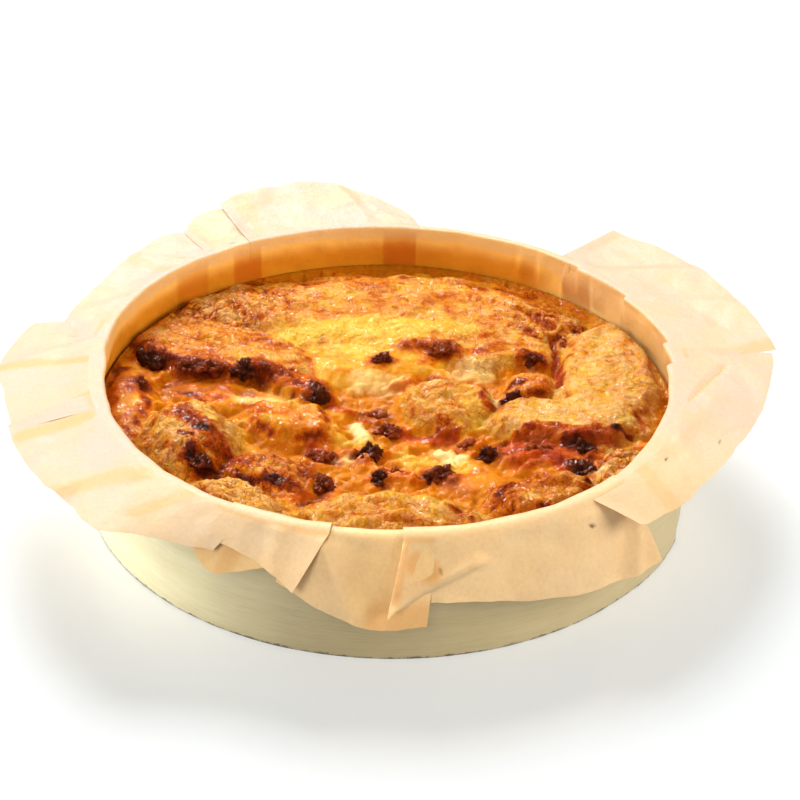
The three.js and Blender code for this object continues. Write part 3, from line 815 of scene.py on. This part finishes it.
def quicheMaterial():
    material, tree, shader = newMaterial("bakedCustard")
    where, hue = objectPlace(tree), quiche["colours"]
    marks = (readAttribute(tree, name) for name in quicheMarks)
    bake, wet, flake, flour, smooth, yolk, cream, amber, red = marks
    mottle = noiseAt(tree, where, 4.5, detail=6)
    speck = noiseAt(tree, where, 0.9, detail=5, roughness=0.8)
    crack = combine(tree, "MULTIPLY", crackAt(tree, where, 3.0, 0.9), flake)
    grain = rampValue(tree, smooth, 1, 0.25, 0, 1)  # smooth skin has little of it
    level = combine(tree, "ADD", bake, rampValue(tree, mottle, -0.16, 0.16, 0.3, 0.7))
    specks = combine(tree, "MULTIPLY", rampValue(tree, speck, -0.15, 0.15, 0.3, 0.7), grain)
    level = combine(tree, "ADD", level, specks)
    level = combine(tree, "ADD", level, rampValue(tree, crack, 0, 0.2, 0, 1), clamp=True)
    colour = rampColour(tree, level, hue["bake"])
    # pale mottle on the crowns, partly painted sheen
    paleMottle = rampValue(tree, noiseAt(tree, where, 3.0, detail=6, roughness=0.72), 0, 1, 0.42, 0.56)
    colour = blendColour(tree, combine(tree, "MULTIPLY", paleMottle, flour), colour, hue["flour"])
    colour = layOver(tree, colour, hue["amber"], amber, most=0.85)
    colour = layOver(tree, colour, hue["yolk"], yolk, most=0.6)
    colour = layOver(tree, colour, hue["cream"], cream, 0, 0.9, 0.85)
    sauce = layOver(tree, hue["sauce"], hue["sauceDark"], mottle, 0.35, 0.7)
    colour = layOver(tree, colour, sauce, red, 0.1, 0.9, 0.85)
    dull = rampValue(tree, wet, 0.55, 0.30, 0.1, 1)
    uneven = rampValue(tree, noiseAt(tree, where, 2.2), -0.14, 0.14, 0.35, 0.65)
    oily = rampValue(tree, noiseAt(tree, where, 1.8), 0.05, 1, 0.44, 0.64)
    fine = noiseAt(tree, where, 1.3, detail=5, roughness=0.68)
    normal = bumpFrom(tree, combine(tree, "MULTIPLY", fine, grain), 1.4)
    feed(tree, shader, {
        "Base Color": colour,
        "Roughness": combine(tree, "ADD", dull, uneven),
        "Specular IOR Level": 0.1,
        "Coat Weight": combine(tree, "MULTIPLY", rampValue(tree, wet, 0.4, 1, 0.1, 1), oily),
        "Coat Roughness": 0.15,
        "Coat Normal": bumpFrom(tree, noiseAt(tree, where, 2.0, detail=2), 0.5),
        "Subsurface Weight": 0.2,
        "Subsurface Radius": (1, 0.4, 0.1),
        "Subsurface Scale": 3 * mm,
        "Normal": bumpFrom(tree, combine(tree, "MULTIPLY", crack, -1), 0.5, normal),
    })
    return material


makeQuiche(quicheMaterial())
print("the quiche is baked")


# lardons

lardon = {
    "lift": -0.45,  # share of the height by which the middle stands above the custard
    "knobs": 1.7,  # mm
    "pits": 0.6,  # mm
    "knobSize": 3,  # mm
    "facets": 5,  # icosphere subdivisions
    "colours": [  # from fat to char
        (0.0, (0.42, 0.16, 0.035)),
        (0.3, (0.28, 0.060, 0.014)),
        (0.55, (0.18, 0.026, 0.006)),
        (0.8, (0.090, 0.016, 0.006)),
        (1.0, (0.040, 0.009, 0.005)),
    ],
}


def lardonMaterial():
    material, tree, shader = newMaterial("charredBacon")
    where, char, knob = objectPlace(tree), readAttribute(tree, "char"), readAttribute(tree, "knob")
    blotch = noiseAt(tree, where, 1.8, detail=5, roughness=0.65)
    level = combine(tree, "ADD", char, rampValue(tree, blotch, -0.28, 0.20, 0.3, 0.7))
    level = combine(tree, "ADD", level, rampValue(tree, knob, 0.16, -0.10, 0, 1), clamp=True)
    feed(tree, shader, {
        "Base Color": rampColour(tree, level, lardon["colours"]),
        "Roughness": rampValue(tree, blotch, 0.42, 0.75, 0.35, 0.65),
        "Specular IOR Level": 0.06,
        "Coat Weight": rampValue(tree, blotch, 0.8, 0, 0.40, 0.55),
        "Coat Roughness": 0.12,
        "Normal": bumpFrom(tree, noiseAt(tree, where, 0.7, roughness=0.65), 0.5),
    })
    return material


def makeLardons(material):
    for number, ((cx, cy), half, turn, char) in enumerate(lardons, 1):
        z, rough = quicheTop(cx, cy)[:2]
        middle = z + rough + lardon["lift"] * half[2]
        c, s = cosSin(turn)
        bm = bmesh.new()
        bmesh.ops.create_icosphere(bm, subdivisions=lardon["facets"], radius=1)
        layers = markLayers(bm, ("char", "knob"))
        for vert in bm.verts:
            p = vert.co.copy()
            out = Vector((p.x / half[0], p.y / half[1], p.z / half[2])).normalized()
            p = Vector((p.x * half[0], p.y * half[1], p.z * half[2]))
            seat = p / lardon["knobSize"] + Vector((7.3 * number, 0, 0))  # each lardon has its own noise
            knob = noise.fractal(seat, 0.6, 2.2, 5)
            pits = noise.voronoi(seat * 3.2)[0][0] - 0.35
            p += out * (lardon["knobs"] * knob - lardon["pits"] * pits)
            setMarks(vert, layers, char=char, knob=min(max(0.5 + 0.8 * knob - pits, 0), 1))
            vert.co = Vector((cx + p.x * c - p.y * s, cy + p.x * s + p.y * c, middle + p.z)) * mm
        finishPiece(f"lardon{number:02d}", bm, material, f"lardon_{number:02d}", "lardon")


makeLardons(lardonMaterial())
print(f"{len(lardons)} lardons are set in the custard")


# paper liner

paper = {
    "thickness": 0.16,  # mm
    "wallRadius": 87,  # mm, middle of the sheet
    "wallFoot": 12,  # mm, hidden by the quiche
    "rimHeight": 40.6,  # mm, where the sheet turns outward
    "turn": 0.4,  # mm, radius of the inner turn over the rim
    "turnOut": 1.6,  # mm, radius of the outer turn
    "rimFlat": 1.2,  # mm, across the top of the wall
    "layer": 0.2,  # mm between two layers
    "step": 0.97,  # mm, about the size of a face
    "buckle": 1.0,  # mm, broad folds of the loose flaps
    "crumple": 0.75,  # mm, flat facets
    "ragged": 0.5,  # mm that the cut edge wanders
    "rimWander": 0.5,  # mm
    "rows": (22, 3, 3, 3),  # faces up the wall, round the first turn, across the rim and round the second
    "flapRadius": 100,  # mm, at which a flap's width is taken
    "wallRun": 28,  # mm of wall that shows
    "soakDepth": (9, -1),  # mm below the rim, where the fat is full and where it ends
    "leastSoak": 0.36,  # of the wall
    "litSideSoak": 0.4,  # share of the soak on the right side, which is painted paler for the light that falls on its inner wall
    "litMiddle": 15,  # degrees
    "litHalf": (33, 46),  # degrees to each side, where the painted light fades out and the fat begins, and where the fat is full
    "showing": 27,  # mm, height at which the wall comes out of the quiche
    "tuckFull": 33,  # mm, height at which the tucks have their depth
    "foldSize": 34,  # mm, broad folds
    "facetSizes": (15, 6),  # mm
    "edgeHold": 7,  # mm beside a flap's sides that stay flat
    "colours": {
        # painted light and shade: pale is the copy for flaps in full light, tan the copy for flaps in shade
        "pale": (0.60, 0.515, 0.455),
        "tan": (0.88, 0.66, 0.35),
        "cloud": (0.74, 0.53, 0.27),
        "fibre": (0.56, 0.38, 0.18),
        # painted shade of folds, creases and overlapping flaps
        "band": (0.74, 0.44, 0.17),
        "halfSoaked": (0.74, 0.41, 0.10),
        "soaked": (0.56, 0.205, 0.013),
        "soakedDeep": (0.48, 0.155, 0.008),
        "doubled": (0.40, 0.085, 0.004),
        "speck": (0.10, 0.03, 0.008),
    },
}
# what the material reads at each point of the sheet
paperMarks = ("soak", "doubled", "tint", "band", "speck")

# flaps from the back right and round to the front: layer, share of the shaded copy of the paper's colour
# (painted shade) at the first and last key, then for each key the angle at the rim, the angle at the edge,
# the length past the rim, and the slope at rim and edge
flaps = {
    "backRight": (0, (0.4, 0.4), [
        (90, 90, 17, -30, -60), (78, 78, 20, -40, -66), (64, 64, 20, -40, -66), (49, 49, 18, -30, -60)]),
    "right": (1, (0.1, 0.15), [
        (52, 50.5, 25, 1, 2), (42, 41, 27, 1, 3), (30, 31, 28, 1, 3), (18, 20, 28, 0, 2),
        (4, 7.5, 29.5, -2, -3)]),
    "rightFront": (2, (0.1, 0.4), [
        (8, 6.5, 28, -2, -4), (0, -1, 25, -2, -5), (-9, -9, 22, -3, -8), (-20, -20.6, 18, -5, -14),
        (-32, -32, 16, -8, -22), (-42, -39, 16, -10, -26), (-51.5, -47, 14, -12, -28)]),
    "back": (1, (0.0, 0.0), [
        (84.5, 85, 2, 0, 5), (87, 88, 9, 2, 6), (94, 96, 20, 4, 10), (100, 102, 26, 6, 12),
        (108, 108.5, 27, 6, 12), (118, 117, 26, 5, 10), (122, 121, 24, 3, 7)]),
    "backLeft": (0, (0.2, 0.2), [
        (119, 118, 19, 2, 6), (123, 121.5, 22, 2, 8), (128, 126, 22, 0, 6), (132, 131, 15, 0, 4)]),
    "leftBack": (1, (0.0, 0.05), [
        (130, 130, 16, 0, 3), (136, 136, 18, -1, 2), (145, 146, 15, -2, 0), (155, 156, 13, -3, -2),
        (165, 166, 14, -6, -9), (173, 172, 16, -8, -15)]),
    "left": (2, (0.05, 0.1), [
        (167, 169, 22, -4, -8), (172, 174, 26, -5, -12), (178, 181, 28, -6, -14), (186, 188, 25, -8, -16),
        (193, 195, 24, -8, -16), (200.5, 199, 24, -8, -16)]),
    "leftFront": (3, (0.0, 0.3), [
        (195, 197, 25, -8, -16), (203, 205, 25, -8, -15), (211, 213, 24.5, -8, -15),
        (218, 219.5, 23.5, -9, -15), (227, 227, 24.6, -9, -16), (234, 233, 17.5, -14, -24),
        (240, 238.9, 13.3, -28, -40), (246, 242.5, 11.5, -38, -52)]),
    "frontTab": (0, (0.9, 0.9), [
        (240, 238.5, 12, -40, -50), (244, 242, 17, -50, -60), (249, 246, 15, -55, -65),
        (254, 252, 11, -60, -68)]),
    "frontFold": (5, (0.45, 0.6), [
        (242.5, 240.5, 10, -36, -51), (247, 244.5, 9, -40, -56), (251, 248.5, 10, -44, -58),
        (256, 252.5, 13, -47, -60), (261, 256.5, 16.5, -51, -64)]),
    "frontLeft": (1, (0.75, 0.95), [
        (254, 253, 15, -58, -70), (259, 258, 19, -60, -74), (263, 262.5, 22, -62, -78),
        (267, 266.6, 24, -62, -80), (272, 271.4, 25.4, -62, -80), (279, 277.2, 24.8, -62, -80)]),
    "front": (4, (0.75, 0.6), [
        (273.5, 271, 20, -60, -76), (278, 277.5, 18, -60, -78), (284, 284, 19.2, -60, -78),
        (294, 294, 21.3, -60, -78), (304, 304, 23, -58, -76), (311, 312, 24.3, -54, -70),
        (317, 318, 24, -48, -64)]),
}

# pressed creases: flap, from and to as share across and share out from the rim, height and half width in mm
creases = [
    ("left", (0.30, 0.0), (0.42, 1.0), 0.6, 4.0),
    ("leftFront", (0.50, 0.0), (0.35, 1.0), 1.0, 6.0),
    ("right", (0.15, 0.0), (0.40, 1.0), -0.6, 5.0),
    ("right", (0.55, 0.2), (0.75, 1.0), 0.6, 4.0),
    ("rightFront", (0.38, 0.0), (0.12, 0.45), -0.7, 2.0),
    ("rightFront", (0.55, 0.0), (0.65, 1.0), 0.6, 5.0),
    ("back", (0.35, 0.0), (0.45, 1.0), 0.7, 4.0),
    ("back", (0.75, 0.0), (0.70, 1.0), -0.7, 4.0),
    ("leftBack", (0.25, 0.0), (0.35, 1.0), 0.6, 3.0),
    ("leftBack", (0.60, 0.0), (0.55, 1.0), -0.5, 3.0),
    ("frontLeft", (0.18, 0.0), (0.58, 1.0), 2.4, 9.0),
    ("frontLeft", (0.62, 0.0), (0.50, 1.0), -1.4, 8.0),
    ("frontFold", (1.0, 0.0), (1.0, 1.0), 1.6, 9.0),
    ("frontFold", (0.55, 0.0), (0.75, 1.0), 0.9, 4.0),
    ("front", (0.0, 0.0), (0.0, 1.0), 2.2, 2.6),
    ("front", (0.0, 1.0), (0.36, 0.38), 2.6, 3.2),
    ("front", (0.16, 0.05), (0.13, 0.50), -0.6, 4.0),
    ("front", (0.36, 0.95), (0.52, 0.25), -1.5, 9.0),
    ("front", (0.60, 1.0), (0.74, 0.1), 1.6, 9.0),
    ("front", (0.80, 0.9), (0.97, 0.2), -1.8, 6.0),
    ("front", (0.86, 1.0), (0.96, 0.4), 1.4, 3.0),
]

# painted shade in tan bands, where a narrow fold lies double or a crease or facet turns from the light:
# flap, from, to, half width in mm, strength
bands = [
    ("left", (0.50, 0.0), (0.39, 1.0), 1.6, 0.8),
    ("left", (0.86, 0.0), (0.92, 1.0), 2.4, 0.9),
    ("leftFront", (0.12, 0.1), (0.08, 0.9), 2.0, 0.9),
    ("leftFront", (0.52, 0.1), (0.36, 1.0), 2.5, 0.7),
    ("leftFront", (0.72, 0.0), (0.62, 0.6), 2.5, 0.6),
    ("right", (0.98, 0.0), (0.96, 1.0), 3.0, 0.55),
    ("rightFront", (0.38, 0.02), (0.12, 0.45), 0.45, 1.0),
    ("rightFront", (0.75, 0.0), (0.85, 1.0), 3.0, 0.4),
    ("back", (0.86, 0.0), (0.84, 1.0), 3.0, 0.4),
    ("leftBack", (0.35, 0.0), (0.36, 1.0), 2.0, 0.4),
    ("front", (0.03, 0.15), (0.03, 0.8), 2.0, 0.6),
    ("front", (0.10, 0.35), (0.17, 0.5), 4.0, 1.0),
    ("frontLeft", (0.75, 0.88), (1.0, 0.92), 5.0, 0.8),
    ("frontTab", (0.5, 0.3), (0.5, 1.0), 3.0, 0.5),
]
# brown specks: flap, share across, share out from the rim or down the wall, radius in mm
specks = [
    ("rightFront", 0.66, 0.20, 0.6),
    ("rightFront", 0.50, 0.72, 0.5),
    ("front", 0.72, 0.24, 0.8),
    ("leftBack", 0.88, -0.08, 0.6),
    ("leftBack", 0.96, -0.15, 0.4),
    ("backLeft", 0.5, 0.05, 0.5),
    ("right", 0.5, 0.05, 0.4),
    ("front", 0.22, 0.5, 0.5),
]
# tucks in the wall: angle of the sharp edge, width in degrees, depth in mm
tucks = [
    (62, 4, 0.7), (57, 3, 0.8), (50.5, 7, 1.6), (42, 4, 1.0), (33, 5, 1.0), (25, 4, 0.8), (14, 5, 1.0),
    (176, 9, 1.2),
]
# darker bands where the sheet is doubled on the wall: from and to angle, strength
doubled = [(133, 141.5, 0.7), (119.5, 126, 0.9), (85, 92, 1.0), (43, 51, 0.5), (57, 61, 0.3), (4, 9, 0.3)]
# how far the rim stands in from the wall, mm at each angle, with steps where the sheet is pleated
rimLean = [
    (-60, 0), (-46, 0.4), (-34, 1.8), (-20, 3.0), (-5, 3.6), (1.8, 3.9), (2.4, 2.0), (10.4, 2.9), (11, 0.9),
    (24, 1.9), (30.6, 2.5), (31.2, 0.7), (40, 1.3), (46, 1.7), (46.6, 0.4), (60, 0), (150, 0), (165, 0.6),
    (176, 2.0), (184, 3.0), (195, 2.2), (208, 1.4), (222, 0.4), (240, 0), (300, 0),
]


def keyAt(keys, share):  # smooth values between the keys
    place = share * (len(keys) - 1)
    i = min(int(place), len(keys) - 2)
    t = place - i
    before, after = keys[max(i - 1, 0)], keys[min(i + 2, len(keys) - 1)]
    values = []
    for a, b, c, d in zip(before, keys[i], keys[i + 1], after):
        slopeB, slopeC = (c - a) / 2, (d - b) / 2
        square, cube = 3 * (c - b) - 2 * slopeB - slopeC, 2 * (b - c) + slopeB + slopeC
        values.append(b + t * slopeB + t * t * square + t ** 3 * cube)
    return values


def leanAt(degrees):
    degrees = (degrees + 60) % 360 - 60
    for (a, low), (b, high) in zip(rimLean, rimLean[1:]):
        if a <= degrees <= b:
            return mix(low, high, (degrees - a) / (b - a))
    return 0


def tuckDepth(degrees):
    depth = 0
    for edge, width, deep in tucks:
        past = (edge - degrees) % 360
        if past < width:
            depth = max(depth, deep * (1 - past / width))
    return depth


def paperPoint(values, part, share):  # radius, angle, height and slope of the sheet in one of its five parts
    rim, edge, length, slopeIn, slopeOut = values
    turn, outer, lean = paper["turn"], paper["turnOut"], leanAt(rim)
    lean += paper["rimWander"] * grainNoise(rim, 0, 9, 2, 8)
    r, z = paper["wallRadius"], mix(paper["wallFoot"], paper["rimHeight"], share)
    if part == 0:  # up the wall
        show, top = paper["showing"], paper["rimHeight"]
        tuck = tuckDepth(rim) * ease(z, show, paper["tuckFull"]) * ease(top + 2 - z, 0, 9)
        return r - lean * ease(z, show, top) - tuck, rim, z, math.pi / 2
    r, z = r - lean, paper["rimHeight"]
    if part == 1:  # first turn
        bend = share * math.pi / 2
        return r + turn * (1 - math.cos(bend)), rim, z + turn * math.sin(bend), math.pi / 2 - bend
    r, z, flat = r + turn, z + turn, paper["rimFlat"] + lean
    if part == 2:  # across the rim
        return r + share * flat, rim, z, 0
    r, slope = r + flat, math.radians(slopeIn)
    if part == 3:  # second turn
        bend = share * slope
        drop = math.copysign(outer * (1 - math.cos(bend)), slope)
        return r + outer * math.sin(abs(bend)), rim, z + drop, bend
    r, z = r + outer * math.sin(abs(slope)), z + math.copysign(outer * (1 - math.cos(slope)), slope)
    steps, run = 6, share * length
    for i in range(steps):  # out along the flap
        slope = math.radians(mix(slopeIn, slopeOut, share * (i + 0.5) / steps))
        r += run / steps * math.cos(slope)
        z += run / steps * math.sin(slope)
    return r, mix(rim, edge, share), z, math.radians(mix(slopeIn, slopeOut, share))


def facetNoise(x, y, size, seed):  # flat triangles that meet in straight creases, -0.5 to 0.5
    x, y = x / size + 9.3 * seed, y / size + 4.1 * seed
    skew = (x + y) * 0.366
    i, j = math.floor(x + skew), math.floor(y + skew)
    u, v = x + skew - i, y + skew - j

    def corner(a, b):
        return noise.cell(Vector((i + a + 0.5, j + b + 0.5, 5.5 + seed))) - 0.5

    if u > v:
        return corner(0, 0) * (1 - u) + corner(1, 0) * (u - v) + corner(1, 1) * v
    return corner(0, 0) * (1 - v) + corner(0, 1) * (v - u) + corner(1, 1) * u


def foldNoise(x, y, size, seed):  # V-shaped folds, about 0 to 0.6
    return abs(noise.noise(Vector((x / size, y / size, 3.7 * seed + 0.5))))


def coverAt(own, degrees, share, out):  # how much another flap lies over or under this place
    cover = 0
    for name, (_, _, keys) in flaps.items():
        if name == own:
            continue
        first = mix(keys[0][0], keys[0][1], share)
        span = mix(keys[-1][0], keys[-1][1], share) - first
        along = ((degrees - first + 180) % 360 - 180) / span
        if 0 < along < 1 and keyAt(keys, along)[2] > out:
            gap = min(along, 1 - along) * abs(span)
            cover = max(cover, ease(gap, 0, 0.4) * (1 - ease(out, 0.96, 1.02)))
    return cover


def paperMaterial():
    material, tree, shader = newMaterial("bakingPaper")
    where, hue = objectPlace(tree), paper["colours"]
    soak, double, tint, band, speck = (readAttribute(tree, name) for name in paperMarks)
    fibre = noiseAt(tree, where, 1.2, detail=5, roughness=0.7)
    cloud = noiseAt(tree, where, 14)
    # painted light and shade: lit flaps take the pale copy, shaded flaps the tan one
    colour = blendColour(tree, tint, hue["pale"], hue["tan"])
    colour = layOver(tree, colour, hue["cloud"], cloud, 0.4, 0.7, 0.45)
    colour = layOver(tree, colour, hue["fibre"], fibre, 0.42, 0.8, 0.3)
    colour = layOver(tree, colour, hue["band"], band, most=0.8)
    colour = layOver(tree, colour, hue["halfSoaked"], soak, 0, 0.5)
    soaked = layOver(tree, hue["soaked"], hue["soakedDeep"], cloud, 0.35, 0.65)
    colour = layOver(tree, colour, soaked, soak, 0.5, 1)
    colour = layOver(tree, colour, hue["doubled"], double, most=0.85)
    colour = blendColour(tree, speck, colour, hue["speck"])
    normal = bumpFrom(tree, noiseAt(tree, where, 5, detail=5), 0.45)
    normal = bumpFrom(tree, fibre, 0.06, normal)
    feed(tree, shader, {
        "Base Color": colour,
        "Roughness": rampValue(tree, fibre, 0.36, 0.56, 0.3, 0.7),
        "Specular IOR Level": 0.5,
        "Normal": normal,
    })
    glow = addNode(tree, "ShaderNodeBsdfTranslucent", Color=colour, Normal=normal)
    glowShare = rampValue(tree, soak, 0.4, 0.06, 0, 0.6)
    blend = addNode(tree, "ShaderNodeMixShader", glowShare, shader.outputs[0], glow.outputs[0])
    tree.links.new(blend.outputs[0], tree.nodes["Material Output"].inputs["Surface"])
    return material


def sheetRows(reach):  # for each row of points, its part of the sheet and the share along that part
    rows = [(part, i / count) for part, count in enumerate(paper["rows"]) for i in range(count)]
    past = round(reach / paper["step"])
    return rows + [(4, i / past) for i in range(past + 1)]


def makeFlap(bm, layers, seed, name):
    layer, tints, keys = flaps[name]
    width = math.radians(abs(keys[-1][0] - keys[0][0])) * paper["flapRadius"]
    reach = max(key[2] for key in keys)
    rows = sheetRows(reach)
    wide = max(8, round(width / paper["step"]))
    own = [[row[1:] for row in table if row[0] == name] for table in (creases, bands, specks)]
    pressed, painted, dots = own
    soakFull, soakEnd = (paper["rimHeight"] - depth for depth in paper["soakDepth"])
    for vert in bmesh.ops.create_grid(bm, x_segments=wide, y_segments=len(rows) - 1, size=0.5)["verts"]:
        across = vert.co.x + 0.5
        part, share = rows[round((vert.co.y + 0.5) * (len(rows) - 1))]
        onWall, onFlap = part == 0, part == 4
        values = keyAt(keys, across)
        values[2] += paper["ragged"] * grainNoise(values[0] * mmPerDegree, values[2], 9, 3, 4)
        r, degrees, z, slope = paperPoint(values, part, share)
        out = share if onFlap else 0
        x, y = degrees * mmPerDegree, r + z
        # painted light: the right side of the wall is paler, with less soak
        litSide = 1 - ease(abs((degrees - paper["litMiddle"] + 180) % 360 - 180), *paper["litHalf"])

        def gapTo(start, end):  # mm to a line on the flap
            line = [(a * width, s * reach) for a, s in (start, end)]
            return pathDistance(across * width, out * reach, line)

        # how far the sheet stands off: its layer, broad folds, flat facets and pressed creases
        slack = ease(out, 0, 0.4) * ease(min(across, 1 - across) * width, 0, paper["edgeHold"])
        loose = mix(mix(0.10, 0.8, litSide) if onWall else 0.10, 1, slack)
        broad, small = paper["facetSizes"]
        facets = facetNoise(x + 0.3 * y, y, broad, seed) + 0.4 * facetNoise(x, y, small, seed + 3)
        off = layer * paper["layer"] * (0.35 if onWall else 1)
        off += slack * paper["buckle"] * (foldNoise(x, y, paper["foldSize"], seed) - 0.2)
        off += loose * paper["crumple"] * facets
        for start, end, high, half in pressed:
            off += ease(out, 0, 0.15) * high * max(0, 1 - gapTo(start, end) / half)

        # painted shade where another flap lies over or under, and along the listed folds
        band = 0.55 * coverAt(name, degrees, out, out * values[2]) if onFlap else 0
        for start, end, half, strength in painted if onFlap else ():
            band = max(band, strength * (1 - ease(gapTo(start, end), 0.6 * half, 1.4 * half)))
        speck, place = 0, out * reach if onFlap else (share - 1) * paper["wallRun"] if onWall else 0
        for a, s, radius in dots:
            gap = math.hypot((across - a) * width, place - s * (reach if s > 0 else paper["wallRun"]))
            speck = max(speck, 1 - ease(gap, 0.7 * radius, 1.3 * radius))
        fat = 1 - ease(z + 0.8 * grainNoise(x, y, 8, 3, 6), soakFull, soakEnd) if onWall else 0
        least = paper["leastSoak"] * (1 if onWall else (1 - share) * (part == 1))
        double = 0
        for start, end, strength in doubled:
            inside = ease(degrees, start - 0.3, start + 0.3) * (1 - ease(degrees, end - 0.3, end + 0.3))
            double = max(double, strength * inside)
        setMarks(vert, layers, soak=max(fat * mix(1, paper["litSideSoak"], litSide), least), doubled=double * fat,
                 tint=mix(*tints, ease(across, 0.35, 0.7)), band=band, speck=speck)
        vert.co = polar(r - math.sin(slope) * off, degrees, z + math.cos(slope) * off)


def makePaper(material):
    bm = bmesh.new()
    layers = markLayers(bm, paperMarks)
    for seed, name in enumerate(flaps):
        makeFlap(bm, layers, seed, name)
    for edge in bm.edges:
        edge.smooth = not edge.is_boundary
    bmesh.ops.recalc_face_normals(bm, faces=bm.faces)
    piece = finishPiece("paperLiner", bm, material, "paper_liner", "paper")
    thick = piece.modifiers.new("thickness", "SOLIDIFY")
    thick.thickness = paper["thickness"] * mm
    thick.offset = 0


makePaper(paperMaterial())
print("the paper is folded over the rim")
